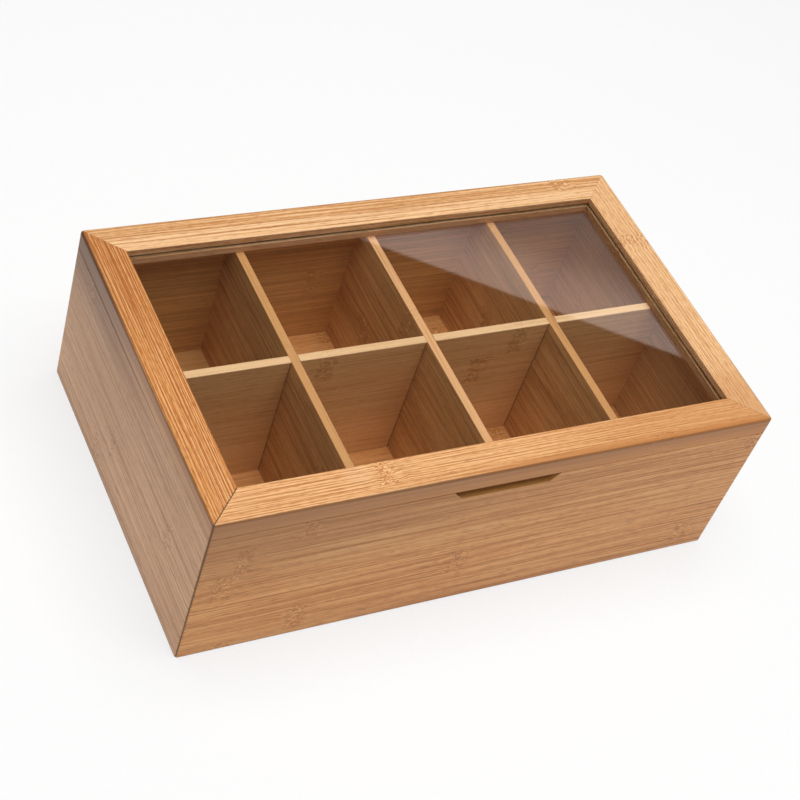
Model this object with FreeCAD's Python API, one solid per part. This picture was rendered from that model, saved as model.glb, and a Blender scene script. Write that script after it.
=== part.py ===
import FreeCAD, Part
import math
import os

# Bamboo tea box with a hinged lid that holds a clear window. Sizes are in millimetres.
# The origin is on the table under the middle of the box. The front faces -Y, the hinges
# are at +Y, and +Z is up.

# Overall sizes
BOX_LENGTH = 315.0  # outside, left to right
BOX_DEPTH = 192.0  # outside, front to back
BOX_HEIGHT = 104.0  # table to the top of the closed lid
LID_HEIGHT = 11.0  # the lid's share of that height

# Body walls, glued on mitres
WALL_THICKNESS = 8.5
CORNER_RADIUS = 1.8  # sanded upright corners of body and lid
FOOT_EASE = 0.8  # sanded lower outside edge
RIM_EASE = 0.4  # eased edges above and below the line between body and lid

# Floor panel, held in a groove of the four walls
FLOOR_LIFT = 4.0  # table to the underside of the panel
FLOOR_THICKNESS = 5.0
FLOOR_GROOVE_DEPTH = 4.0
FLOOR_EDGE_GAP = 0.4  # room for the panel to swell

# Dividers, halved over each other and housed in the walls
DIVIDER_THICKNESS = 4.7
LONG_DIVIDER_SHIFT = 1.4  # towards the back from the middle of the box
DIVIDER_DROP = 0.4  # divider tops below the rim
DIVIDER_EASE = 0.4  # eased top edges
HOUSING_DEPTH = 2.5  # how far a divider's end goes into its wall
HALVING_CLEARANCE = 0.1  # each side of a notch
CROSS_DIVIDERS = {"left": 0.0, "middle": 1.3, "right": 0.4}  # shift of each from even spacing

# Finger scoop, a cove under the lid in the top edge of the front wall
SCOOP_LENGTH = 60.0
SCOOP_RADIUS = 5.5
SCOOP_RUNOUT = 5.0  # sloping stretch at each end
SCOOP_END_RADIUS = 0.5  # depth left at the tips

# Lid rails, glued on mitres, and the window in their groove
RAIL_WIDTH = 18.4
LID_ROUNDOVER = 1.2  # sanded upper outside edge
RAIL_ARRIS = 0.2  # eased inner edges
UPPER_LIP = 3.9  # bamboo above the window's groove
PANE_THICKNESS = 2.0
PANE_HEADROOM = 1.3  # gap between the pane and the upper lip, left by a wide saw cut
PANE_GROOVE_DEPTH = 5.0
PANE_EDGE_GAP = 0.5

# Hinges: two small butt hinges let into the rim and the lid, barrel half sunk at the back
HINGE_INSET = 62.5  # box end to the middle of a hinge
HINGE_WIDTH = 30.0
LID_KNUCKLE_WIDTH = 12.0
KNUCKLE_RADIUS = 2.0
KNUCKLE_GAP = 0.3  # between neighbouring knuckles, along the pin
LEAF_THICKNESS = 1.2
LEAF_SET = 0.1  # leaf faces below the bamboo
LEAF_FIT = 0.1  # between a leaf's edge and its mortise
LEAF_MARGIN = 0.8  # bamboo left between the leaf and the inside of the wall
BARREL_CLEARANCE = 0.3  # between the barrel and the bamboo or the other leaf
PIN_INSET = 1.0  # pin axis in front of the back face
PIN_RADIUS = 0.8
PIN_CLEARANCE = 0.05  # running fit of the knuckles on the pin
PIN_HEAD_RADIUS = 1.4
PIN_HEAD_HEIGHT = 0.6
STOP_ANGLE = 100.0  # opening at which the two back chamfers would meet

# Hinge screws, countersunk, two in each leaf
SCREW_SPREAD = 18.0  # between the two screws of a leaf
SCREW_RADIUS = 1.0
SCREW_HEAD_RADIUS = 1.8
SCREW_HEAD_HEIGHT = 0.8
SCREW_SET = 0.05  # head below the face of the leaf
SCREW_CLEARANCE = 0.05
SCREW_POINT = 2.0  # length of the point
SCREW_POINT_RADIUS = 0.2
BODY_SCREW_LENGTH = 10.0
SCREW_COVER = 2.0  # bamboo left above the points of the lid's screws
RECESS_WIDTH = 0.5  # one arm of the cross in a screw head
RECESS_LENGTH = 2.2
RECESS_DEPTH = 0.6

# Levels and places that follow from the sizes above
RIM_Z = BOX_HEIGHT - LID_HEIGHT
FLOOR_TOP = FLOOR_LIFT + FLOOR_THICKNESS
DIVIDER_TOP = RIM_Z - DIVIDER_DROP
HALVING_Z = (FLOOR_TOP + DIVIDER_TOP) / 2
PANE_GROOVE_TOP = BOX_HEIGHT - UPPER_LIP
PANE_GROOVE_BOTTOM = PANE_GROOVE_TOP - PANE_HEADROOM - PANE_THICKNESS
HALF_LENGTH = BOX_LENGTH / 2
HALF_DEPTH = BOX_DEPTH / 2
INNER_X = HALF_LENGTH - WALL_THICKNESS
INNER_Y = HALF_DEPTH - WALL_THICKNESS
PIN_Y = HALF_DEPTH - PIN_INSET
LEAF_INNER_Y = INNER_Y + LEAF_MARGIN
SCREW_Y = (LEAF_INNER_Y + PIN_Y - KNUCKLE_RADIUS - BARREL_CLEARANCE) / 2
LID_SCREW_LENGTH = LID_HEIGHT - SCREW_COVER
OVERCUT = 5.0  # how far cutting shapes run past the bamboo
NEAR = 0.01  # closeness that picks an edge to round

SIDES = ("front", "back", "left", "right")
HINGES = {"left": -HALF_LENGTH + HINGE_INSET, "right": HALF_LENGTH - HINGE_INSET}

V = FreeCAD.Vector


def cross_divider_places():
    """Middle of each cross divider in X: even spacing and its own small shift."""
    count = len(CROSS_DIVIDERS)
    clear = (2 * INNER_X - count * DIVIDER_THICKNESS) / (count + 1)
    pitch = clear + DIVIDER_THICKNESS
    first = -INNER_X + clear + DIVIDER_THICKNESS / 2
    return {name: first + i * pitch + shift for i, (name, shift) in enumerate(CROSS_DIVIDERS.items())}


def block(x0, x1, y0, y1, z0, z1):
    """Box between two corners."""
    return Part.makeBox(x1 - x0, y1 - y0, z1 - z0, V(x0, y0, z0))


def rod(radius, x0, x1):
    """Cylinder along the hinge pin's axis."""
    return Part.makeCylinder(radius, x1 - x0, V(x0, PIN_Y, RIM_Z), V(1, 0, 0))


def prism(points, along):
    """Straight prism on a polygon of points."""
    return Part.Face(Part.makePolygon(points + points[:1])).extrude(along)


def one_solid(shape):
    """The single solid that a cut or a join has to leave."""
    if len(shape.Solids) != 1:
        raise ValueError("expected one solid, found %d" % len(shape.Solids))
    return shape.removeSplitter().Solids[0]


def on_side(side, inset, z):
    """Point at one end of a side, inset from its outside face, at height z."""
    return {
        "front": V(-HALF_LENGTH, -HALF_DEPTH + inset, z),
        "back": V(-HALF_LENGTH, HALF_DEPTH - inset, z),
        "left": V(-HALF_LENGTH + inset, -HALF_DEPTH, z),
        "right": V(HALF_LENGTH - inset, -HALF_DEPTH, z),
    }[side]


def section(side, corners):
    """Face of a strip's section, from square corners (inset, z, rounding)."""
    points = [on_side(side, inset, z) for inset, z, _ in corners]
    edges = []
    starts = []
    ends = []
    for i, (_, _, rounding) in enumerate(corners):
        to_last = (points[i - 1] - points[i]).normalize() * rounding
        to_next = (points[(i + 1) % len(points)] - points[i]).normalize() * rounding
        starts.append(points[i] + to_last)
        ends.append(points[i] + to_next)
        if rounding > 0:
            middle = points[i] + (to_last + to_next) * (1 - math.sqrt(0.5))
            edges.append(Part.Arc(starts[i], middle, ends[i]).toShape())
    for i in range(len(points)):
        edges.append(Part.LineSegment(ends[i], starts[(i + 1) % len(points)]).toShape())
    return Part.Face(Part.Wire(Part.__sortEdges__(edges)))


def mitre_quarter(side):
    """Prism that keeps one side of the box between its two 45 degree mitres."""
    ridge = HALF_LENGTH - HALF_DEPTH
    plan = {
        "front": [(-HALF_LENGTH, -HALF_DEPTH), (HALF_LENGTH, -HALF_DEPTH), (ridge, 0), (-ridge, 0)],
        "back": [(-HALF_LENGTH, HALF_DEPTH), (HALF_LENGTH, HALF_DEPTH), (ridge, 0), (-ridge, 0)],
        "left": [(-HALF_LENGTH, -HALF_DEPTH), (-HALF_LENGTH, HALF_DEPTH), (-ridge, 0)],
        "right": [(HALF_LENGTH, -HALF_DEPTH), (HALF_LENGTH, HALF_DEPTH), (ridge, 0)],
    }[side]
    return prism([V(x, y, 0) for x, y in plan], V(0, 0, BOX_HEIGHT))


def sanded_outline():
    """The whole box as a block with its upright corners, its foot and its top edge sanded round."""
    whole = block(-HALF_LENGTH, HALF_LENGTH, -HALF_DEPTH, HALF_DEPTH, 0, BOX_HEIGHT)
    upright = [e for e in whole.Edges if abs(e.CenterOfMass.z - BOX_HEIGHT / 2) < NEAR]
    whole = whole.makeFillet(CORNER_RADIUS, upright)
    for level, rounding in ((0, FOOT_EASE), (BOX_HEIGHT, LID_ROUNDOVER)):
        loop = [e for e in whole.Edges if abs(e.CenterOfMass.z - level) < NEAR]
        whole = whole.makeFillet(rounding, loop)
    return whole


def back_relief():
    """V groove along the back, whose two faces meet when the lid is fully open."""
    reach = PIN_INSET + OVERCUT
    rise = reach * math.tan(math.radians(STOP_ANGLE / 2))
    points = [
        V(-HALF_LENGTH - OVERCUT, PIN_Y, RIM_Z),
        V(-HALF_LENGTH - OVERCUT, PIN_Y + reach, RIM_Z + rise),
        V(-HALF_LENGTH - OVERCUT, PIN_Y + reach, RIM_Z - rise),
    ]
    return prism(points, V(BOX_LENGTH + 2 * OVERCUT, 0, 0))


def frame_strip(side, corners):
    """One side of a four-sided frame: its section run along the box and mitred at both ends."""
    along = V(BOX_LENGTH, 0, 0) if side in ("front", "back") else V(0, BOX_DEPTH, 0)
    strip = section(side, corners).extrude(along)
    strip = strip.common(mitre_quarter(side)).common(sanded_outline())
    return strip if side == "front" else strip.cut(back_relief())


def screw_outline(length, grown):
    """Screw along +Z with its head's face at z = 0 and its point below, grown all round."""
    neck = -SCREW_HEAD_HEIGHT
    shoulder = -length + SCREW_POINT
    points = [
        V(0, 0, 0),
        V(SCREW_HEAD_RADIUS + grown, 0, 0),
        V(SCREW_RADIUS + grown, 0, neck),
        V(SCREW_RADIUS + grown, 0, shoulder),
        V(SCREW_POINT_RADIUS + grown, 0, -length - grown),
        V(0, 0, -length - grown),
    ]
    return Part.Face(Part.makePolygon(points + points[:1])).revolve(V(0, 0, 0), V(0, 0, 1), 360)


def screw(length):
    """Countersunk screw with a cross recess."""
    arm = RECESS_LENGTH / 2
    half = RECESS_WIDTH / 2
    cross = block(-arm, arm, -half, half, -RECESS_DEPTH, OVERCUT)
    cross = cross.fuse(block(-half, half, -arm, arm, -RECESS_DEPTH, OVERCUT))
    return screw_outline(length, 0).cut(cross)


def screw_hole(length):
    """Countersink and pilot hole for a screw, open above its head."""
    mouth = Part.makeCylinder(SCREW_HEAD_RADIUS + SCREW_CLEARANCE, OVERCUT)
    return screw_outline(length, SCREW_CLEARANCE).fuse(mouth)


def at_screws(shape, half):
    """Copies of a shape at every screw place of one half of the hinges, 'body' or 'lid'."""
    copies = []
    for hinge_x in HINGES.values():
        for offset in (-SCREW_SPREAD / 2, SCREW_SPREAD / 2):
            copy = shape.copy()
            if half == "lid":
                copy.rotate(V(0, 0, 0), V(1, 0, 0), 180)
            sink = -(LEAF_SET + SCREW_SET) if half == "body" else LEAF_SET + SCREW_SET
            copy.translate(V(hinge_x + offset, SCREW_Y, RIM_Z + sink))
            copies.append(copy)
    return copies


def leaf_levels(half):
    """Lower and upper face of a leaf."""
    if half == "body":
        return RIM_Z - LEAF_SET - LEAF_THICKNESS, RIM_Z - LEAF_SET
    return RIM_Z + LEAF_SET, RIM_Z + LEAF_SET + LEAF_THICKNESS


def hinge_mortise(x, half):
    """Room for one leaf and for the barrel, cut from the rim or from the lid."""
    low, high = leaf_levels(half)
    if half == "body":
        high = RIM_Z + OVERCUT
    else:
        low = RIM_Z - OVERCUT
    wide = HINGE_WIDTH / 2 + LEAF_FIT
    pocket = block(x - wide, x + wide, LEAF_INNER_Y - LEAF_FIT, HALF_DEPTH + OVERCUT, low, high)
    ends = HINGE_WIDTH / 2 + PIN_HEAD_HEIGHT + BARREL_CLEARANCE
    return pocket.fuse(rod(KNUCKLE_RADIUS + BARREL_CLEARANCE, x - ends, x + ends))


def hinge_leaf(x, half):
    """One leaf with its knuckles: two at the ends on the body's, one in the middle on the lid's."""
    low, high = leaf_levels(half)
    end = HINGE_WIDTH / 2
    middle = LID_KNUCKLE_WIDTH / 2
    outer = KNUCKLE_RADIUS + BARREL_CLEARANCE
    leaf = block(x - end, x + end, LEAF_INNER_Y, PIN_Y, low, high)
    if half == "body":
        inner_end = middle + KNUCKLE_GAP
        room = [(-inner_end, inner_end)]
        knuckles = [(-end, -inner_end), (inner_end, end)]
    else:
        room = [(-end - OVERCUT, -middle), (middle, end + OVERCUT)]
        knuckles = [(-middle, middle)]
    for a, b in room:
        leaf = leaf.cut(rod(outer, x + a, x + b))
    for a, b in knuckles:
        leaf = leaf.fuse(rod(KNUCKLE_RADIUS, x + a, x + b))
    leaf = leaf.cut(rod(PIN_RADIUS + PIN_CLEARANCE, x - end - OVERCUT, x + end + OVERCUT))
    length = BODY_SCREW_LENGTH if half == "body" else LID_SCREW_LENGTH
    for hole in at_screws(screw_hole(length), half):
        leaf = leaf.cut(hole)
    return one_solid(leaf)


def hinge_pin(x):
    """Pin with a small head at each end, against the end knuckles."""
    end = HINGE_WIDTH / 2
    pin = rod(PIN_RADIUS, x - end, x + end)
    for a, b in ((-end - PIN_HEAD_HEIGHT, -end), (end, end + PIN_HEAD_HEIGHT)):
        pin = pin.fuse(rod(PIN_HEAD_RADIUS, x + a, x + b))
    return one_solid(pin)


def finger_scoop():
    """Cove about the front top edge, running out at both ends."""
    tip = SCOOP_LENGTH / 2
    flat = tip - SCOOP_RUNOUT
    outline = [(-tip, 0), (-tip, SCOOP_END_RADIUS), (-flat, SCOOP_RADIUS)]
    outline += [(flat, SCOOP_RADIUS), (tip, SCOOP_END_RADIUS), (tip, 0)]
    points = [V(x, -HALF_DEPTH, RIM_Z - drop) for x, drop in outline]
    face = Part.Face(Part.makePolygon(points + points[:1]))
    return face.revolve(V(0, -HALF_DEPTH, RIM_Z), V(1, 0, 0), 360)


def divider_plate(x0, x1, y0, y1):
    """Upright plate from the floor, with its two long top edges eased."""
    plate = block(x0, x1, y0, y1, FLOOR_TOP, DIVIDER_TOP)
    run = max(x1 - x0, y1 - y0)
    top = [e for e in plate.Edges if e.CenterOfMass.z > DIVIDER_TOP - NEAR and e.Length > run - NEAR]
    return plate.makeFillet(DIVIDER_EASE, top)


def body_walls():
    """Four grooved walls with the dividers' housings, the finger scoop and the hinge mortises."""
    inner = WALL_THICKNESS
    groove = WALL_THICKNESS - FLOOR_GROOVE_DEPTH
    corners = [
        (0, 0, 0),
        (inner, 0, 0),
        (inner, FLOOR_LIFT, 0),
        (groove, FLOOR_LIFT, 0),
        (groove, FLOOR_TOP, 0),
        (inner, FLOOR_TOP, 0),
        (inner, RIM_Z, 0),
        (0, RIM_Z, RIM_EASE),
    ]
    half = DIVIDER_THICKNESS / 2
    house_x = INNER_X + HOUSING_DEPTH
    house_y = INNER_Y + HOUSING_DEPTH
    front, back = LONG_DIVIDER_SHIFT - half, LONG_DIVIDER_SHIFT + half
    housings = [block(-house_x, house_x, front, back, FLOOR_TOP, RIM_Z + OVERCUT)]
    for x in cross_divider_places().values():
        housings.append(block(x - half, x + half, -house_y, house_y, FLOOR_TOP, RIM_Z + OVERCUT))
    walls = {}
    for side in SIDES:
        wall = frame_strip(side, corners)
        for housing in housings:
            wall = wall.cut(housing)
        walls[side] = wall
    walls["front"] = walls["front"].cut(finger_scoop())
    for x in HINGES.values():
        walls["back"] = walls["back"].cut(hinge_mortise(x, "body"))
    for hole in at_screws(screw_hole(BODY_SCREW_LENGTH), "body"):
        walls["back"] = walls["back"].cut(hole)
    return {side + "_wall": one_solid(wall) for side, wall in walls.items()}


def floor_panel():
    """Panel that reaches into the groove of all four walls."""
    x = INNER_X + FLOOR_GROOVE_DEPTH - FLOOR_EDGE_GAP
    y = INNER_Y + FLOOR_GROOVE_DEPTH - FLOOR_EDGE_GAP
    return block(-x, x, -y, y, FLOOR_LIFT, FLOOR_TOP)


def dividers():
    """Long divider notched from above, and cross dividers notched from below to sit over it."""
    half = DIVIDER_THICKNESS / 2
    notch = half + HALVING_CLEARANCE
    house_x = INNER_X + HOUSING_DEPTH
    house_y = INNER_Y + HOUSING_DEPTH
    middle = LONG_DIVIDER_SHIFT
    long_divider = divider_plate(-house_x, house_x, middle - half, middle + half)
    made = {}
    for name, x in cross_divider_places().items():
        near, far = middle - OVERCUT, middle + OVERCUT
        upper = block(x - notch, x + notch, near, far, HALVING_Z, DIVIDER_TOP + OVERCUT)
        long_divider = long_divider.cut(upper)
        near, far = middle - notch, middle + notch
        lower = block(x - OVERCUT, x + OVERCUT, near, far, FLOOR_TOP - OVERCUT, HALVING_Z)
        plate = divider_plate(x - half, x + half, -house_y, house_y)
        made["cross_divider_" + name] = one_solid(plate.cut(lower))
    made["long_divider"] = one_solid(long_divider)
    return made


def lid_rails():
    """Four rails with a groove for the window."""
    groove = RAIL_WIDTH - PANE_GROOVE_DEPTH
    corners = [
        (0, RIM_Z, RIM_EASE),
        (RAIL_WIDTH, RIM_Z, RAIL_ARRIS),
        (RAIL_WIDTH, PANE_GROOVE_BOTTOM, 0),
        (groove, PANE_GROOVE_BOTTOM, 0),
        (groove, PANE_GROOVE_TOP, 0),
        (RAIL_WIDTH, PANE_GROOVE_TOP, 0),
        (RAIL_WIDTH, BOX_HEIGHT, RAIL_ARRIS),
        (0, BOX_HEIGHT, 0),
    ]
    rails = {side: frame_strip(side, corners) for side in SIDES}
    for x in HINGES.values():
        rails["back"] = rails["back"].cut(hinge_mortise(x, "lid"))
    for hole in at_screws(screw_hole(LID_SCREW_LENGTH), "lid"):
        rails["back"] = rails["back"].cut(hole)
    return {"lid_" + side + "_rail": one_solid(rail) for side, rail in rails.items()}


def window_pane():
    """Clear sheet that lies on the lower lips of the rails' grooves."""
    reach = RAIL_WIDTH - PANE_GROOVE_DEPTH + PANE_EDGE_GAP
    x = HALF_LENGTH - reach
    y = HALF_DEPTH - reach
    return block(-x, x, -y, y, PANE_GROOVE_BOTTOM, PANE_GROOVE_BOTTOM + PANE_THICKNESS)


def hinges():
    """Leaves and pins of both hinges, and their screws as two groups."""
    made = {}
    for name, x in HINGES.items():
        made["hinge_" + name + "_body_leaf"] = hinge_leaf(x, "body")
        made["hinge_" + name + "_lid_leaf"] = hinge_leaf(x, "lid")
        made["hinge_" + name + "_pin"] = hinge_pin(x)
    made["body_hinge_screws"] = Part.makeCompound(at_screws(screw(BODY_SCREW_LENGTH), "body"))
    made["lid_hinge_screws"] = Part.makeCompound(at_screws(screw(LID_SCREW_LENGTH), "lid"))
    return made


nodes = {}
nodes.update(body_walls())
nodes["floor_panel"] = floor_panel()
nodes.update(dividers())
nodes.update(lid_rails())
nodes["window_pane"] = window_pane()
nodes.update(hinges())

os.makedirs("parts", exist_ok=True)
for node, shape in nodes.items():
    if not shape.isValid():
        raise ValueError(node + " is not a valid shape")
    shape.exportStep("parts/" + node + ".step")
    print(node, len(shape.Solids), "solid(s)", round(shape.Volume), "mm3")
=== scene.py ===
import math

import bpy
from mathutils import Matrix, Vector


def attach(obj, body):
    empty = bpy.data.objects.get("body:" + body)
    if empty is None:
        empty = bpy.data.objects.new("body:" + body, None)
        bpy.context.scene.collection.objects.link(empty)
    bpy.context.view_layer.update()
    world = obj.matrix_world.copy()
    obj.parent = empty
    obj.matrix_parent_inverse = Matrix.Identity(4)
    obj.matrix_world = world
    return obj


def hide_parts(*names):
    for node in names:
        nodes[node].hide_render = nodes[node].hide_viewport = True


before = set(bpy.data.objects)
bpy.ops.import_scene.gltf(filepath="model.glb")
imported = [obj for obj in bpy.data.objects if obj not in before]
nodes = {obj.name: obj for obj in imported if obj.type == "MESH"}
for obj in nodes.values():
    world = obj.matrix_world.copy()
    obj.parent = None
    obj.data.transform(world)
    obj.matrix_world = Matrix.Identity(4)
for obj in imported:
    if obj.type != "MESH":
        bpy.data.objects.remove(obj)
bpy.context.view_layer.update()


# The four walls of the body. Each is a bamboo board pressed from strips about 19 mm wide,
# with the fibres along its length. The boards are mitred, glued at the corners, sanded
# and given a thin satin lacquer. A strip shows a knuckle wherever the cane had one.


class Shade:
    """A value or colour that changes over a surface. Sums of shades add the nodes for them."""

    def __init__(self, tree, output=None):
        self.tree = tree
        self.output = output

    def node(self, kind, settings, sockets, take=0):
        made = self.tree.nodes.new("ShaderNode" + kind)
        for name, value in settings.items():
            if name == "stops":
                ramp = made.color_ramp
                while len(ramp.elements) < len(value):
                    ramp.elements.new(1.0)
                for element, (place, colour) in zip(ramp.elements, value):
                    element.position = place
                    element.color = colour
            elif name == "steps":
                made.color_ramp.interpolation = value
            else:
                setattr(made, name, value)
        for name, value in sockets.items():
            if isinstance(value, Shade):
                self.tree.links.new(value.output, made.inputs[name])
            else:
                made.inputs[name].default_value = value
        return Shade(self.tree, made.outputs[take])

    def parts(self):
        """Every output of the node that this shade comes from."""
        return [Shade(self.tree, output) for output in self.output.node.outputs]

    def math(self, operation, *values):
        return self.node("Math", {"operation": operation}, dict(enumerate(values)))

    def __add__(self, other):
        return self.math("ADD", self, other)

    def __radd__(self, other):
        return self.math("ADD", other, self)

    def __sub__(self, other):
        return self.math("SUBTRACT", self, other)

    def __rsub__(self, other):
        return self.math("SUBTRACT", other, self)

    def __mul__(self, other):
        return self.math("MULTIPLY", self, other)

    def __rmul__(self, other):
        return self.math("MULTIPLY", other, self)

    def __truediv__(self, other):
        return self.math("DIVIDE", self, other)

    def __rtruediv__(self, other):
        return self.math("DIVIDE", other, self)

    def __abs__(self):
        return self.math("ABSOLUTE", self)

    def least(self, other):
        return self.math("MINIMUM", self, other)

    def most(self, other):
        return self.math("MAXIMUM", self, other)

    def fade(self, none, full):
        """0 where this value is none, 1 where it is full, eased between."""
        settings = {"interpolation_type": "SMOOTHSTEP"}
        return self.node("MapRange", settings, {"Value": self, "From Min": none, "From Max": full})

    def between(self, low, high, edge):
        """1 where this value lies from low to high, with soft edges."""
        return self.fade(low - edge, low + edge) * self.fade(high + edge, high - edge)

    def mixed(self, share, other):
        """This colour with a share of another one."""
        settings = {"data_type": "RGBA"}
        return self.node("Mix", settings, {0: share, 6: self, 7: other}, take=2)

    def feed(self, socket):
        self.tree.links.new(self.output, socket)


def new_material(name):
    material = bpy.data.materials.new(name)
    material.use_nodes = True
    tree = material.node_tree
    tree.nodes.clear()
    surface = tree.nodes.new("ShaderNodeBsdfPrincipled")
    output = tree.nodes.new("ShaderNodeOutputMaterial")
    tree.links.new(surface.outputs["BSDF"], output.inputs["Surface"])
    return material, Shade(tree), surface, output


def finish_node(name, material):
    nodes[name].data.materials.clear()
    nodes[name].data.materials.append(material)


X, Y, Z = 0, 1, 2
HALF_LENGTH = 0.1575
HALF_DEPTH = 0.096
KNUCKLE_SPAN = 0.4  # metres of board that a ramp's 0 to 1 stands for, centred on the box
NO_KNUCKLE = 0.5 * KNUCKLE_SPAN
KNOT_EDGE, KNOT_HEART = 0.0065, 0.0030  # from the middle of a knuckle
BEND_EDGE, BEND_HEART = 0.017, 0.003  # where fibres are pushed aside by it


class Board:
    """Pressed bamboo. Each strip has its lightness and the places of its knuckles along the board."""

    def __init__(self, name, along, across, start, width, strips, colours, cut, seed):
        self.material, shade, self.surface, _ = new_material("bamboo_" + name)
        self.name = name
        place = shade.node("TexCoord", {}, {}, take="Object")
        self.axes = shade.node("SeparateXYZ", {}, {0: place}).parts()
        run = self.axes[along]

        # Which strip this is, how light it is and where its knuckles are
        count = len(strips)
        level = (self.axes[across] - start) / width
        number = level.math("FLOOR", level)
        stops = []
        for i, (tone, knuckles) in enumerate(strips):
            knuckles = list(knuckles) + [NO_KNUCKLE] * (2 - len(knuckles))
            first, second = [k / KNUCKLE_SPAN + 0.5 for k in knuckles]
            stops.append((i / count, (tone, first, second, 1.0)))
        strip = shade.node("ValToRGB", {"stops": stops, "steps": "CONSTANT"}, {"Fac": level / count})
        tone, first, second = shade.node("SeparateColor", {}, {0: strip}).parts()
        sway = shade.node("TexNoise", {}, {"Vector": place, "Scale": 170.0, "Detail": 2.0}) - 0.5
        away = [abs(run - (knuckle - 0.5) * KNUCKLE_SPAN + sway * 0.012) for knuckle in (first, second)]
        away = away[0].least(away[1])
        knot = away.fade(KNOT_EDGE, KNOT_HEART)
        bend = away.fade(BEND_EDGE, BEND_HEART)

        # Fibres, swept aside near a knuckle and curled up inside it
        sockets = {"Vector": place, "Scale": 430.0, "Detail": 1.0}
        curl = shade.node("TexNoise", {}, sockets, take="Color")
        curl = shade.node("VectorMath", {"operation": "SUBTRACT"}, {0: curl, 1: (0.5, 0.5, 0.5)})
        curl = shade.node("VectorMath", {"operation": "SCALE"}, {0: curl, "Scale": knot * 3.0})

        def grain(along_scale, cross_scale, detail, shift, step=0.0):
            """Noise drawn out along the fibres, -0.5 to 0.5. A step moves it across the board."""
            scale = [cross_scale] * 3
            scale[along] = along_scale
            offset = [0.0] * 3
            offset[along] = number * 3.7
            offset[across] = bend * sway * (0.005 * cross_scale)
            offset = shade.node("CombineXYZ", {}, dict(enumerate(offset)))
            origin = [seed + shift] * 3
            origin[across] += step * cross_scale
            spread = shade.node("Mapping", {}, {"Vector": place, "Scale": scale, "Location": origin})
            for move in (offset, curl):
                spread = shade.node("VectorMath", {"operation": "ADD"}, {0: spread, 1: move})
            sockets = {"Vector": spread, "Scale": 1.0, "Detail": detail, "Roughness": 0.6}
            return shade.node("TexNoise", {}, sockets) - 0.5

        band = grain(*cut["band"], 2.0, 0.0)
        fibre = grain(*cut["fibre"], 1.5, 11.0)
        if cut["step"] > 0:
            fibre = fibre - grain(*cut["fibre"], 1.5, 11.0, cut["step"])
        thread = grain(*cut["thread"], 1.0, 23.0)
        dash = grain(*cut["dash"], 1.0, 37.0).fade(0.07, 0.20) * cut["dashes"]

        # Lightness: the strip's own, broad bands, streaks and flecks, and even lines on a pressed edge
        streaks = fibre * cut["fibres"] + grain(*cut["fleck"], 1.0, 51.0) * cut["flecks"]
        if cut["combs"] > 0:
            phase = self.axes[across] / cut["pitch"] + band * 1.5 + thread * 0.6 + bend * sway * 2.0
            comb = phase.math("SINE", phase * math.tau) * (0.7 + thread * 2.0)
            streaks = streaks + comb * cut["combs"]
        light = tone + band * cut["bands"] + (streaks - 0.06 * knot) * (1.0 + knot * cut["knots"])
        deep, middle, pale = colours
        ramp = [(0.1, deep), (0.5, middle), (0.9, pale)]
        self.colour = shade.node("ValToRGB", {"stops": ramp}, {"Fac": light})

        # Brown threads and dashes, and the glue between strips
        lines = abs(thread).fade(0.045, 0.012) * (band - fibre).fade(-0.10, 0.16) * cut["threads"]
        from_middle = abs(level - number - 0.5)
        seam = from_middle.fade(0.5 - 0.0004 / width, 0.5 - 0.0001 / width) * cut["seams"]
        brown = [c * k for c, k in zip(deep, (0.66, 0.50, 0.40))] + [1.0]
        self.shade = shade
        self.band = band
        self.fibre = fibre
        self.dark_lines = abs(thread).fade(0.13, 0.03)
        self.height = fibre - (lines + dash) * 0.4
        self.stain((lines + dash + seam).least(0.9), brown)

    def stain(self, share, colour):
        self.colour = self.colour.mixed(share, colour)

    def stain_mitres(self):
        """The glue line of a mitre, which has opened a little at the front left."""
        x, y = self.axes[:2]
        from_joint = abs(HALF_LENGTH - HALF_DEPTH - abs(x) + abs(y))
        opened = x.fade(0.0, -0.1) * y.fade(0.0, -0.05)
        share = 0.12 + y.fade(0.0, -0.05) * 0.16 + opened * 0.65
        self.stain(from_joint.fade(0.0006, 0.0001) * share, GLUE_AND_SHADE_BROWN)

    def paint_corner_shade(self):
        """Painted shade: a dark brown strip along the rounded upright corners, darker higher up."""
        x, y, z = self.axes
        from_corner = (HALF_LENGTH - abs(x)).most(HALF_DEPTH - abs(y))
        share = 0.40 + z.fade(0.015, 0.075) * 0.45 + self.band * 0.6
        self.stain(from_corner.fade(0.0012, 0.0007) * share, SHADE_AND_STREAK_BROWN)

    def paint_outer_shade_and_streaks(self, along, where):
        """Painted shade: long boards are darker up and to the left, side boards up and to the back.
        Side boards also get dark streaks toward the top back.
        """
        x, y, z = self.axes
        if along == X:
            self.stain(where * z.fade(0.035, 0.100) * x.fade(0.16, -0.17) * 0.55, LONG_PAINTED_SHADE)
        else:
            self.stain(where * z.fade(0.010, 0.100) * (0.12 + y.fade(-0.04, 0.04) * 0.36), SIDE_PAINTED_SHADE)
            top_back = z.fade(0.066, 0.090) * y.fade(-0.03, 0.07)
            self.stain(where * self.dark_lines * top_back * 0.6, SHADE_AND_STREAK_BROWN)

    def finish(self):
        self.colour.feed(self.surface.inputs["Base Color"])
        (0.40 - self.fibre * 0.25).feed(self.surface.inputs["Roughness"])
        self.surface.inputs["Specular IOR Level"].default_value = 0.35
        sockets = {"Height": self.height, "Strength": 0.3, "Distance": 0.00006}
        self.shade.node("Bump", {}, sockets).feed(self.surface.inputs["Normal"])
        finish_node(self.name, self.material)


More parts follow.
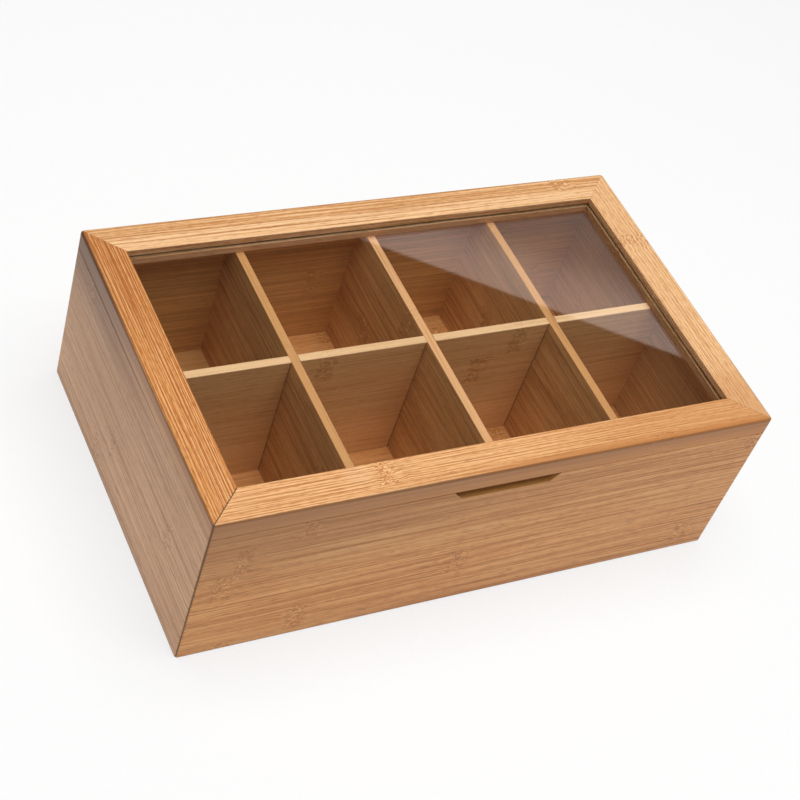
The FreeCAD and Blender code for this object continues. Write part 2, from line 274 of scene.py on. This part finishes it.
# How the bamboo was cut, and so what its fibres look like. A pair gives a pattern's cells to the
# metre along and across the fibres, and the plural next to it how strongly that pattern shows.
# A step above 0 compares the fibres with those that far across, which takes out broad waves.
# Combs are the even lines of bamboo pressed on edge, one to each pitch.
FLAT = {
    "band": (5.0, 60.0), "bands": 0.13,
    "fibre": (11.0, 850.0), "fibres": 1.9, "step": 0.0,
    "thread": (10.0, 520.0), "threads": 0.13,
    "dash": (130.0, 900.0), "dashes": 0.32,
    "fleck": (220.0, 850.0), "flecks": 0.36,
    "seams": 0.10, "knots": 0.45, "combs": 0.0,
}
LONG_WALL = ((0.49, 0.175, 0.034, 1.0), (0.72, 0.312, 0.090, 1.0), (0.84, 0.435, 0.155, 1.0))
SIDE_WALL = ((0.50, 0.233, 0.102, 1.0), (0.69, 0.367, 0.171, 1.0), (0.80, 0.470, 0.245, 1.0))
WALL_STRIP = 0.019
WALL_START = -0.0145
WALL_SKIN, WALL_INSIDE = 0.0081, 0.0084  # from the outer face: still in the board, on its inner face
# Painted shade along the upright corners and the foot, and the brown of dark streaks on the side boards
SHADE_AND_STREAK_BROWN = (0.16, 0.062, 0.018, 1.0)
# Brown of the mitres' glue lines, and of painted shade at the scoop's left end
GLUE_AND_SHADE_BROWN = (0.05, 0.022, 0.010, 1.0)
INSIDE_BROWN = (0.40, 0.26, 0.100, 1.0)
# Painted shade for the outer faces, darker toward the top
LONG_PAINTED_SHADE = (0.30, 0.145, 0.052, 1.0)
SIDE_PAINTED_SHADE = (0.30, 0.130, 0.042, 1.0)

front_strips = [
    (0.46, [-0.1350]),
    (0.52, [-0.0975, 0.1370]),
    (0.49, [-0.0110]),
    (0.53, [-0.1435]),
    (0.48, [-0.1360]),
    (0.44, [-0.1055, 0.1530]),
]
back_strips = [
    (0.48, []),
    (0.53, [0.040]),
    (0.47, [-0.118, 0.131]),
    (0.52, [-0.020]),
    (0.46, [0.092]),
    (0.50, [-0.071]),
]
left_strips = [
    (0.50, []),
    (0.53, [0.030]),
    (0.48, [0.012]),
    (0.52, [-0.060]),
    (0.47, []),
    (0.43, [0.071]),
]
right_strips = [
    (0.47, []),
    (0.50, [-0.033]),
    (0.54, [0.064]),
    (0.46, []),
    (0.52, [-0.075]),
    (0.49, [0.018]),
]
walls = {
    "front_wall": (X, front_strips, LONG_WALL, 1.0),
    "back_wall": (X, back_strips, LONG_WALL, 5.0),
    "left_wall": (Y, left_strips, SIDE_WALL, 9.0),
    "right_wall": (Y, right_strips, SIDE_WALL, 13.0),
}

# The scoop is a cove along the front's top edge, with ends that run out round
SCOOP_RADIUS = 0.0055
SCOOP_FLOOR = 0.025  # half the length of the scoop's level part
SCOOP_BROWN = (0.34, 0.175, 0.042, 1.0)
RIM = 0.093

for name, (along, strips, colours, seed) in walls.items():
    wall = Board(name, along, Z, WALL_START, WALL_STRIP, strips, colours, FLAT, seed)
    x, y, z = wall.axes
    from_outside = (HALF_LENGTH - abs(x)).least(HALF_DEPTH - abs(y))
    wall.stain(from_outside.fade(WALL_SKIN, WALL_INSIDE) * (0.58 - wall.fibre * 0.8), INSIDE_BROWN)
    # Painted shade on the outer face, darker toward the top, and dark streaks on the side boards
    wall.paint_outer_shade_and_streaks(along, from_outside.fade(WALL_INSIDE, WALL_SKIN))
    wall.stain_mitres()
    # Painted shade along the rounded upright corners
    wall.paint_corner_shade()
    # Painted shade: a thin dark line along the foot, where the wall meets the table
    wall.stain(z.fade(0.0012, 0.0004) * 0.7, SHADE_AND_STREAK_BROWN)
    if name == "front_wall":
        from_edge = (y + HALF_DEPTH) * (y + HALF_DEPTH) + (z - RIM) * (z - RIM)
        reach = SCOOP_RADIUS + 0.00012 - (abs(x) - SCOOP_FLOOR).most(0.0)
        depth = reach - from_edge.math("SQRT", from_edge)
        in_scoop = depth.fade(0.0, 0.00005) * reach.fade(0.0, 0.0002)
        # The scoop's cut face is stained darker brown, with less stain toward the top: painted light
        # that lifts the shade under the lid
        wall.stain(in_scoop * (0.65 - z.fade(0.0885, 0.0920) * 0.4 + wall.fibre * 1.5), SCOOP_BROWN)
        # Painted shade: the scoop's left end darkened
        wall.stain(in_scoop * x.fade(-0.0258, -0.0275) * 0.8, GLUE_AND_SHADE_BROWN)
    wall.finish()


# The floor panel, a 5 mm bamboo board that lies loose in a groove of the four walls.
# Its strips run left to right like those of the long walls.

FLOOR_COLOURS = ((0.50, 0.205, 0.055, 1.0), (0.72, 0.345, 0.115, 1.0), (0.82, 0.45, 0.19, 1.0))
BACK_LEFT_FLOOR_SHADE = (0.40, 0.215, 0.070, 1.0)
FLOOR_STRIP = 0.0195
FLOOR_START = -0.0975
PLAIN = {**FLAT, "bands": 0.10, "fibres": 1.0, "threads": 0.10, "dashes": 0.14, "knots": 1.6}
floor_strips = [
    (0.50, [0.090]),
    (0.54, [-0.115]),
    (0.47, []),
    (0.53, [0.020]),
    (0.46, [0.0670]),
    (0.54, [0.1070]),
    (0.49, []),
    (0.55, [-0.020]),
    (0.47, [0.066]),
    (0.52, [-0.131, -0.0050]),
]
floor = Board("floor_panel", X, Y, FLOOR_START, FLOOR_STRIP, floor_strips, FLOOR_COLOURS, PLAIN, 17.0)
x, y = floor.axes[:2]
# Painted shade: the floor of the back left compartment is darker
floor.stain(x.fade(-0.074, -0.077) * y.fade(0.0, 0.003) * 0.45, BACK_LEFT_FLOOR_SHADE)
floor.finish()


# The dividers, thin bamboo boards. One runs the whole length and three cross it on halved
# joints. Their ends are housed in the walls, and their top edges are sanded pale.

LONG_DIVIDER = ((0.47, 0.248, 0.092, 1.0), (0.67, 0.400, 0.172, 1.0), (0.77, 0.490, 0.235, 1.0))
CROSS_DIVIDER = ((0.39, 0.190, 0.065, 1.0), (0.57, 0.318, 0.122, 1.0), (0.70, 0.415, 0.175, 1.0))
DIVIDER_TOPS = {
    "long_divider": (0.77, 0.500, 0.260, 1.0),
    "cross_divider_left": (0.58, 0.285, 0.098, 1.0),
    "cross_divider_middle": (0.72, 0.385, 0.170, 1.0),
    "cross_divider_right": (0.57, 0.278, 0.095, 1.0),
}
SMOOTH = {**FLAT, "bands": 0.26, "fibre": (20.0, 700.0), "fibres": 1.5, "dashes": 0.22, "knots": 0.8}
CROSS_PLACES = (-0.075675, 0.0013, 0.076075)
JOINT_EDGE, JOINT_LINE = 0.0032, 0.0026  # from the middle of a cross divider
TOP_EDGE, TOP_FACE = 0.0918, 0.0922
JOINT_AND_CORNER_SHADE_BROWN = (0.12, 0.055, 0.018, 1.0)
DIVIDER_STRIP = 0.0195
DIVIDER_START = -0.005
divider_strips = {
    "long_divider": [(0.80, []), (0.76, []), (0.56, []), (0.49, [0.0368]), (0.48, [0.0568, -0.0577])],
    "cross_divider_left": [(0.45, []), (0.40, [0.030]), (0.52, []), (0.44, [-0.051]), (0.50, [])],
    "cross_divider_middle": [(0.48, []), (0.52, [-0.040]), (0.42, [0.055]), (0.47, []), (0.50, [0.02])],
    "cross_divider_right": [(0.50, []), (0.44, []), (0.54, [0.048]), (0.46, []), (0.48, [])],
}
for i, (name, strips) in enumerate(divider_strips.items()):
    is_long = name == "long_divider"
    along, colours, cut = (X, LONG_DIVIDER, PLAIN) if is_long else (Y, CROSS_DIVIDER, SMOOTH)
    seed = 21.0 + 4 * i
    divider = Board(name, along, Z, DIVIDER_START, DIVIDER_STRIP, strips, colours, cut, seed)
    if is_long:
        # A dark line beside each cross divider: partly the joint's gap, partly painted shade in the
        # inner corner
        for cross_place in CROSS_PLACES:
            from_joint = abs(divider.axes[X] - cross_place)
            divider.stain(from_joint.fade(JOINT_EDGE, JOINT_LINE) * 0.70, JOINT_AND_CORNER_SHADE_BROWN)
    on_top = divider.axes[Z].fade(TOP_EDGE, TOP_FACE)
    divider.stain(on_top * (0.80 + divider.fibre * 1.6), DIVIDER_TOPS[name])
    divider.finish()


# The lid's four rails, bamboo pressed on edge, so narrow strips show on top. They are mitred
# and glued round the window, rounded along the outside and lacquered like the walls.
# The groove for the window is painted dark: painted shade in the gap above the window.

EDGE = {
    "band": (6.0, 70.0), "bands": 0.06,
    "fibre": (16.0, 1500.0), "fibres": 1.8, "step": 0.0007,
    "thread": (6.0, 500.0), "threads": 0.40,
    "dash": (130.0, 1000.0), "dashes": 0.35,
    "fleck": (220.0, 1000.0), "flecks": 0.75,
    "seams": 0.20, "knots": 1.2, "combs": 0.16, "pitch": 0.0017,
}
CALM = {**EDGE, "fibres": 1.0, "combs": 0.20, "pitch": 0.0021, "knots": 0.5}
LAYERED = {**EDGE, "bands": 0.12, "fibre": (14.0, 1150.0), "fibres": 1.7, "step": 0.0010, "combs": 0.13}
STREAKY = {
    **EDGE, "bands": 0.06, "fibre": (12.0, 1500.0), "fibres": 2.3, "step": 0.0007,
    "threads": 0.16, "dashes": 0.45, "combs": 0.34, "pitch": 0.00142,
}
RAIL_WIDTH = 0.0184
RAIL_COLOURS = ((0.53, 0.215, 0.060, 1.0), (0.75, 0.385, 0.155, 1.0), (0.85, 0.500, 0.240, 1.0))
PALE_RAIL = ((0.53, 0.235, 0.075, 1.0), (0.76, 0.430, 0.195, 1.0), (0.86, 0.555, 0.300, 1.0))
LEFT_COLOURS = ((0.41, 0.120, 0.022, 1.0), (0.60, 0.245, 0.061, 1.0), (0.74, 0.390, 0.150, 1.0))
GROOVE_FLOOR, GROOVE_ROOF = 0.0968, 0.1003
GROOVE_PAINTED_SHADE = (0.055, 0.026, 0.012, 1.0)
UPPER_LAYER = 0.0983  # where the rail's two layers are glued
LAYER_BROWN = (0.42, 0.175, 0.058, 1.0)
# Dark brown of the rounded outer top edges: lacquer gathered there, and painted shade
ARRIS_LACQUER_AND_SHADE_BROWN = (0.12, 0.045, 0.013, 1.0)
RUSSET = (0.47, 0.175, 0.043, 1.0)
CREAM = (0.84, 0.56, 0.32, 1.0)
LEFT_DARK = (0.36, 0.105, 0.020, 1.0)
LOWER_LIP = {"lid_back_rail": (0.56, 0.31, 0.18, 1.0), "lid_right_rail": (0.24, 0.125, 0.055, 1.0)}
front_rail_strips = [(0.45, [0.0905]), (0.50, [-0.0665]), (0.53, [-0.0655]), (0.50, [-0.0645])]
back_rail_strips = [(0.66, []), (0.31, [0.1240])]
left_rail_strips = [(0.53, []), (0.50, [])]
right_rail_strips = [(0.54, [0.0415]), (0.54, [0.0405])]
rails = {
    "lid_front_rail": (X, Y, -HALF_DEPTH, front_rail_strips, RAIL_COLOURS, EDGE, 41.0),
    "lid_back_rail": (X, Y, HALF_DEPTH - RAIL_WIDTH, back_rail_strips, PALE_RAIL, LAYERED, 45.0),
    "lid_left_rail": (Y, X, -HALF_LENGTH, left_rail_strips, LEFT_COLOURS, STREAKY, 49.0),
    "lid_right_rail": (Y, X, HALF_LENGTH - RAIL_WIDTH, right_rail_strips, PALE_RAIL, CALM, 53.0),
}
for name, (along, across, start, strips, colours, cut, seed) in rails.items():
    rail = Board(name, along, across, start, RAIL_WIDTH / len(strips), strips, colours, cut, seed)
    x, y, z = rail.axes
    outer_half, side_colours = (HALF_DEPTH, LONG_WALL) if across == Y else (HALF_LENGTH, SIDE_WALL)
    inset = outer_half - abs(rail.axes[across])
    if name == "lid_front_rail":
        rail.stain(x.fade(-0.03, 0.10) * 0.40, RUSSET)
        rail.stain(inset.fade(0.0060, 0.0005) * x.fade(-0.09, 0.03) * 0.80, RUSSET)
        pale_patch = inset.fade(0.006, 0.010) * x.between(-0.086, -0.074, 0.004)
        rail.stain(pale_patch * (0.2 + rail.fibre), CREAM)
    if name == "lid_left_rail":
        rail.stain(y.fade(-0.03, 0.08) * (0.42 - rail.fibre * 1.8), LEFT_DARK)
    if name == "lid_right_rail":
        rail.stain(y.fade(-0.050, -0.075) * 0.35, RUSSET)
    side = inset.fade(0.0006, 0.0002)
    rail.stain(side * (0.70 - rail.fibre), side_colours[1])
    rail.stain(side * rail.dark_lines * 0.40, side_colours[0])
    # Painted shade on the lid's sides, as on the walls below
    rail.paint_outer_shade_and_streaks(along, side)
    upper = z.fade(UPPER_LAYER - 0.0003, UPPER_LAYER + 0.0003)
    rail.stain(side * upper * (0.55 - rail.fibre), LAYER_BROWN)
    # The rounded outer top edge is darkened: partly lacquer gathered on it, partly painted shade,
    # strongest toward the back of the left rail
    arris_lacquer_and_shade = 0.50 + rail.band
    if name == "lid_left_rail":
        arris_lacquer_and_shade = arris_lacquer_and_shade + y.fade(-0.03, 0.08) * 0.45
        rail.stain(inset.fade(0.0026, 0.0008) * y.fade(0.0, 0.09) * 0.6, ARRIS_LACQUER_AND_SHADE_BROWN)
    rail.stain(inset.fade(0.0011, 0.0005) * z.fade(0.1018, 0.1030) * arris_lacquer_and_shade, ARRIS_LACQUER_AND_SHADE_BROWN)
    rail.stain_mitres()
    # Painted shade along the lid's rounded upright corners
    rail.paint_corner_shade()
    if name in LOWER_LIP:
        rail.stain(inset.fade(0.0180, 0.0183) * z.fade(0.0969, 0.0967) * 0.5, LOWER_LIP[name])
    # Painted shade: the groove's roof and back, above its floor, painted nearly black
    in_groove = inset.fade(0.0020, 0.0021) * z.between(GROOVE_FLOOR + 0.0003, GROOVE_ROOF, 0.00005)
    rail.stain(in_groove * 0.93, GROOVE_PAINTED_SHADE)
    rail.finish()


# The window, a 2 mm sheet of clear acrylic, cut to size with polished faces. It was slid into
# the rails' groove before the last mitre was glued, and lies loose on the groove's lower lip.

acrylic, shade, surface, output = new_material("clear_acrylic")
surface.inputs["Base Color"].default_value = (1.0, 1.0, 1.0, 1.0)
surface.inputs["Transmission Weight"].default_value = 1.0
surface.inputs["Roughness"].default_value = 0.0
surface.inputs["IOR"].default_value = 1.5
lamp = shade.node("LightPath", {}, {}, take="Is Shadow Ray")
bounce = shade.node("LightPath", {}, {}, take="Is Diffuse Ray")
clear = shade.node("BsdfTransparent", {}, {})
glass = Shade(shade.tree, surface.outputs[0])
window = shade.node("MixShader", {}, {0: lamp.most(bounce), 1: glass, 2: clear})
window.feed(output.inputs["Surface"])
finish_node("window_pane", acrylic)


# The two butt hinges, stamped from brass sheet and rolled round a brass pin. Their leaves
# are let into the rim and the lid.

brass, shade, surface, _ = new_material("hinge_brass")
place = shade.node("TexCoord", {}, {}, take="Object")
rubbed = shade.node("TexNoise", {}, {"Vector": place, "Scale": 260.0, "Detail": 4.0, "Roughness": 0.6})
stretch = shade.node("Mapping", {}, {"Vector": place, "Scale": (150.0, 5000.0, 5000.0)})
brushed = shade.node("TexNoise", {}, {"Vector": stretch, "Scale": 1.0, "Detail": 2.0})
stops = [(0.3, (0.54, 0.36, 0.13, 1.0)), (0.7, (0.78, 0.57, 0.26, 1.0))]
shade.node("ValToRGB", {"stops": stops}, {"Fac": rubbed}).feed(surface.inputs["Base Color"])
(0.22 + rubbed * 0.2 + brushed * 0.12).feed(surface.inputs["Roughness"])
relief = shade.node("Bump", {}, {"Height": brushed, "Strength": 0.2, "Distance": 0.00002})
relief.feed(surface.inputs["Normal"])
surface.inputs["Metallic"].default_value = 1.0
for side in ("left", "right"):
    for piece in ("body_leaf", "lid_leaf", "pin"):
        finish_node(f"hinge_{side}_{piece}", brass)


# The hinge screws, small countersunk brass ones with a cross recess, two in each leaf. Each
# is turned from rod with a rolled thread, and is driven home to a different turn.

SCREW_SIZES = {
    "Head radius": 0.0018,
    "Head height": 0.0008,
    "Shank radius": 0.0010,
    "Thread depth": 0.00026,
    "Thread pitch": 0.0011,
    "Point length": 0.0020,
    "Point radius": 0.0002,
    "Recess width": 0.0005,
    "Recess length": 0.0022,
    "Recess depth": 0.0006,
    "Between hinges": 0.190,
    "Between screws": 0.018,
}
SCREW_ROW = 0.0905  # from the middle of the box to the screws
SIDES, RINGS = 32, 80


class Maker:
    """Geometry nodes, wired the way that Shade wires shader nodes."""

    def __init__(self, tree, output=None):
        self.tree = tree
        self.output = output

    def node(self, kind, settings, sockets, take=0):
        made = self.tree.nodes.new(kind)
        for name, value in settings.items():
            setattr(made, name, value)
        for name, value in sockets.items():
            for one in value if isinstance(value, list) else [value]:
                if isinstance(one, Maker):
                    self.tree.links.new(one.output, made.inputs[name])
                else:
                    made.inputs[name].default_value = one
        return Maker(self.tree, made.outputs[take])

    def math(self, operation, *values):
        return self.node("ShaderNodeMath", {"operation": operation}, dict(enumerate(values)))

    def __add__(self, other):
        return self.math("ADD", self, other)

    def __sub__(self, other):
        return self.math("SUBTRACT", self, other)

    def __mul__(self, other):
        return self.math("MULTIPLY", self, other)

    def __truediv__(self, other):
        return self.math("DIVIDE", self, other)

    def vector(self, x, y, z):
        return self.node("ShaderNodeCombineXYZ", {}, {0: x, 1: y, 2: z})


screw_tree = bpy.data.node_groups.new("countersunk_screws", "GeometryNodeTree")
screw_tree.interface.new_socket("Geometry", in_out="OUTPUT", socket_type="NodeSocketGeometry")
for name in list(SCREW_SIZES) + ["Length", "Seat height", "Turned over"]:
    screw_tree.interface.new_socket(name, in_out="INPUT", socket_type="NodeSocketFloat")
screw_tree.interface.new_socket("Brass", in_out="INPUT", socket_type="NodeSocketMaterial")
make = Maker(screw_tree)
given = screw_tree.nodes.new("NodeGroupInput")
size = {socket.name: Maker(screw_tree, socket) for socket in given.outputs}

# A tube down from the head's face, drawn in to the shank, the thread and the point
sockets = {"Vertices": SIDES, "Side Segments": RINGS, "Radius": 1.0, "Depth": size["Length"]}
tube = make.node("GeometryNodeMeshCylinder", {"fill_type": "NGON"}, sockets)
place = make.node("GeometryNodeInputPosition", {}, {})
split = screw_tree.nodes.new("ShaderNodeSeparateXYZ")
screw_tree.links.new(place.output, split.inputs[0])
x, y, z = [Maker(screw_tree, output) for output in split.outputs]
down = size["Length"] * 0.5 - z
round_part = x.math("ARCTAN2", y, x) / math.tau
turn = down / size["Thread pitch"] - round_part
ridge = turn.math("PINGPONG", turn, 0.5) * 2.0
thread = ridge * size["Thread depth"]
head = size["Head radius"] - down * (size["Head radius"] - size["Shank radius"]) / size["Head height"]
threaded = down.math("GREATER_THAN", down, size["Head height"] * 3.0)
shank = size["Shank radius"] - (size["Thread depth"] - thread) * threaded
left_over = size["Length"] - down
taper = (size["Shank radius"] - size["Point radius"]) / size["Point length"]
point = size["Point radius"] + left_over * taper
radius = head.math("MAXIMUM", head, point.math("MINIMUM", point, shank))
moved = make.vector(x * radius, y * radius, down * -1.0)
screw = make.node("GeometryNodeSetPosition", {}, {"Geometry": tube, "Position": moved})

# The cross recess
blade = make.node("GeometryNodeMeshCube", {}, {
    "Size": make.vector(size["Recess length"], size["Recess width"], size["Recess depth"] * 2.0)
})
quarter_turn = (0.0, 0.0, math.pi / 2)
across_blade = make.node("GeometryNodeTransform", {}, {"Geometry": blade, "Rotation": quarter_turn})
settings = {"operation": "UNION", "solver": "EXACT"}
cross = make.node("GeometryNodeMeshBoolean", settings, {1: [blade, across_blade]})
settings = {"operation": "DIFFERENCE", "solver": "EXACT"}
screw = make.node("GeometryNodeMeshBoolean", settings, {0: screw, 1: cross})

# Two screws to a leaf, two leaves to a body
rows = ("Between hinges", "Between screws")
half_apart = [make.vector(size[name] * -0.5, 0.0, 0.0) for name in rows]
apart = [make.vector(size[name], 0.0, 0.0) for name in rows]
hinges, pair = [
    make.node("GeometryNodeMeshLine", {}, {"Count": 2, "Start Location": start, "Offset": step})
    for start, step in zip(half_apart, apart)
]
places = make.node("GeometryNodeInstanceOnPoints", {}, {"Points": hinges, "Instance": pair})
places = make.node("GeometryNodeRealizeInstances", {}, {"Geometry": places})
any_turn = make.node("FunctionNodeRandomValue", {"data_type": "FLOAT_VECTOR"}, {
    "Min": (0.0, 0.0, 0.0), "Max": (0.0, 0.0, math.pi), "Seed": 3
})
screws = make.node("GeometryNodeInstanceOnPoints", {}, {
    "Points": places, "Instance": screw, "Rotation": any_turn
})
screws = make.node("GeometryNodeTransform", {}, {
    "Geometry": screws,
    "Translation": make.vector(0.0, SCREW_ROW, size["Seat height"]),
    "Rotation": make.vector(size["Turned over"], 0.0, 0.0),
})
screws = make.node("GeometryNodeRealizeInstances", {}, {"Geometry": screws})
screws = make.node("GeometryNodeSetMaterial", {}, {"Geometry": screws, "Material": size["Brass"]})
done = screw_tree.nodes.new("NodeGroupOutput")
screw_tree.links.new(screws.output, done.inputs["Geometry"])

screw_groups = {
    "body": {"Length": 0.010, "Seat height": 0.09285, "Turned over": 0.0},
    "lid": {"Length": 0.009, "Seat height": 0.09315, "Turned over": math.pi},
}
inputs = [item for item in screw_tree.interface.items_tree if item.in_out == "INPUT"]
identifiers = {item.name: item.identifier for item in inputs}
for body, own_sizes in screw_groups.items():
    holder = bpy.data.objects.new(body + "_screw_maker", bpy.data.meshes.new("empty"))
    bpy.context.scene.collection.objects.link(holder)
    modifier = holder.modifiers.new("screws", "NODES")
    modifier.node_group = screw_tree
    for name, value in {**SCREW_SIZES, **own_sizes, "Brass": brass}.items():
        modifier[identifiers[name]] = value
    evaluated = holder.evaluated_get(bpy.context.evaluated_depsgraph_get())
    screw_mesh = bpy.data.meshes.new_from_object(evaluated)
    bpy.data.objects.remove(holder)
    screw_piece = bpy.data.objects.new(body + "_brass_screws", screw_mesh)
    bpy.context.scene.collection.objects.link(screw_piece)
    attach(screw_piece, body)
    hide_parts(body + "_hinge_screws")


# The studio: a white table, a white wall all round, and a wide soft light overhead. Behind
# the box the wall ends in a bright, straight top edge, which the window mirrors.

table_mesh = bpy.data.meshes.new("table")
HALF_TABLE = 6.0
corners = [(x * HALF_TABLE, y * HALF_TABLE, 0.0) for x, y in ((-1, -1), (1, -1), (1, 1), (-1, 1))]
table_mesh.from_pydata(corners, [], [(0, 1, 2, 3)])
table = bpy.data.objects.new("table", table_mesh)
bpy.context.scene.collection.objects.link(table)
white, shade, surface, output = new_material("white_table")
surface.inputs["Base Color"].default_value = (0.90, 0.90, 0.90, 1.0)
surface.inputs["Roughness"].default_value = 0.9
surface.inputs["Specular IOR Level"].default_value = 0.0


def looked_at_rays(shade):
    """1 for what the eye sees straight, mirrored or through the window."""
    seen = shade.node("LightPath", {}, {}, take="Is Camera Ray")
    mirrored = shade.node("LightPath", {}, {}, take="Is Glossy Ray")
    passed = shade.node("LightPath", {}, {}, take="Is Transmission Ray")
    return seen.most(mirrored).most(passed)


glow = shade.node("Emission", {}, {"Color": (1.0, 1.0, 1.0, 1.0), "Strength": 1.0})
paper = Shade(shade.tree, surface.outputs[0])
lit = shade.node("MixShader", {}, {0: looked_at_rays(shade) * 0.7, 1: paper, 2: glow})
lit.feed(output.inputs["Surface"])
table_mesh.materials.append(white)

WALL_EDGE = (-0.4050, -0.5060, 0.7615)  # square to the plane through the eye and the wall's top edge
BRIGHT_EDGE = (1.40, 1.20, 1.10, 1.0)
PLAIN_WALL = (0.67, 0.595, 0.555, 1.0)
DARK_ABOVE = (0.03, 0.03, 0.03, 1.0)
AMBIENT = (0.25, 0.25, 0.25, 1.0)
PURE_WHITE = (1.0, 1.0, 1.0, 1.0)
world = bpy.data.worlds.new("studio")
bpy.context.scene.world = world
world.use_nodes = True
world.node_tree.nodes.clear()
shade = Shade(world.node_tree)
way = shade.node("TexCoord", {}, {}, take="Generated")
above = shade.node("VectorMath", {"operation": "DOT_PRODUCT"}, {0: way, 1: WALL_EDGE}, take="Value")
blank = shade.node("RGB", {}, {})
blank.output.default_value = PLAIN_WALL
mirrored = blank.mixed(above.fade(-0.036, -0.010), BRIGHT_EDGE)
mirrored = mirrored.mixed(above.fade(-0.0012, 0.0012), DARK_ABOVE)
glossy = shade.node("LightPath", {}, {}, take="Is Glossy Ray")
room = blank.mixed(1.0, AMBIENT).mixed(looked_at_rays(shade), PURE_WHITE).mixed(glossy, mirrored)
sky = shade.node("Background", {}, {"Color": room, "Strength": 1.0})
sky.feed(world.node_tree.nodes.new("ShaderNodeOutputWorld").inputs["Surface"])

soft = bpy.data.lights.new("overhead", "AREA")
soft.shape = "SQUARE"
soft.size = 1.2
soft.energy = 22.5
soft_light = bpy.data.objects.new("overhead", soft)
soft_light.location = (0.0, -0.12, 1.5)
bpy.context.scene.collection.objects.link(soft_light)


# The camera stands at the front left, well above the box, with a long lens, and is rolled
# to the left. Its place, lens and roll follow from the directions of the box's edges.

camera_data = bpy.data.cameras.new("camera")
camera_data.lens = 80.475
camera_data.sensor_width = 36.0
camera = bpy.data.objects.new("camera", camera_data)
camera_place = Vector((-0.43468, -0.51907, 0.71808))
camera_aim = Vector((-0.01130, -0.00924, 0.06))
camera.location = camera_place
turn = (camera_aim - camera_place).to_track_quat("-Z", "Y").to_matrix().to_4x4()
turn = turn @ Matrix.Rotation(math.radians(20.907), 4, "Z")
camera.rotation_euler = turn.to_euler()
bpy.context.scene.collection.objects.link(camera)
bpy.context.scene.camera = camera
bpy.context.scene.view_settings.view_transform = "Standard"
